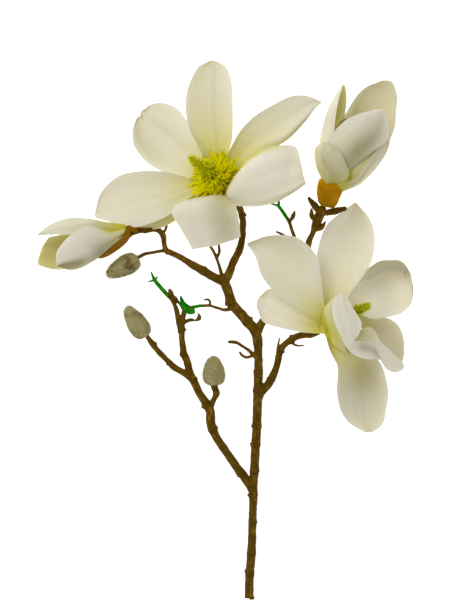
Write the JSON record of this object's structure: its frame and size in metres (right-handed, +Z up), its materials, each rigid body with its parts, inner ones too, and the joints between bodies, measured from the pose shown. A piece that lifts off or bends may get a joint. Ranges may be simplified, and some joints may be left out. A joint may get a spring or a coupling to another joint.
{
  "type": "magnolia branch",
  "caption": "Cut magnolia branch lying on its side, with open cream-white blooms, opening goblet buds, furry winter buds and green shoots on a forked woody stem.",
  "frame": {"origin": "on the flat underside of the trunk's foot, 12 mm above the cut end", "axes": "+Y along the trunk from the cut end towards the blooms, +Z up from the surface the branch lies on, +X to the side of the side bloom"},
  "size_m": [0.2649, 0.3797, 0.0792],
  "materials": {
    "bark": "rough dark brown bark",
    "tepal": "smooth, waxy cream-white tepal",
    "stamen": "matt yellow-green",
    "pistil": "matt olive green",
    "bud_scale": "matt orange-brown",
    "fur": "short grey-olive fur",
    "shoot": "satin bright green"
  },
  "bodies": {
    "root": {"woody_branch": "bark", "large_bloom_tepals": "tepal", "large_bloom_stamens": "stamen", "large_bloom_pistil": "pistil", "side_bloom_tepals": "tepal", "side_bloom_stamens": "stamen", "side_bloom_pistil": "pistil", "upper_bud_tepals": "tepal", "upper_bud_scale_cup": "bud_scale", "left_bud_tepals": "tepal", "left_bud_scale_cup": "bud_scale", "furry_bud_upper": "fur", "furry_bud_left": "fur", "furry_bud_middle": "fur", "green_shoot_left": "shoot", "green_shoot_middle": "shoot", "green_shoot_upper": "shoot"}
  },
  "joints": []
}
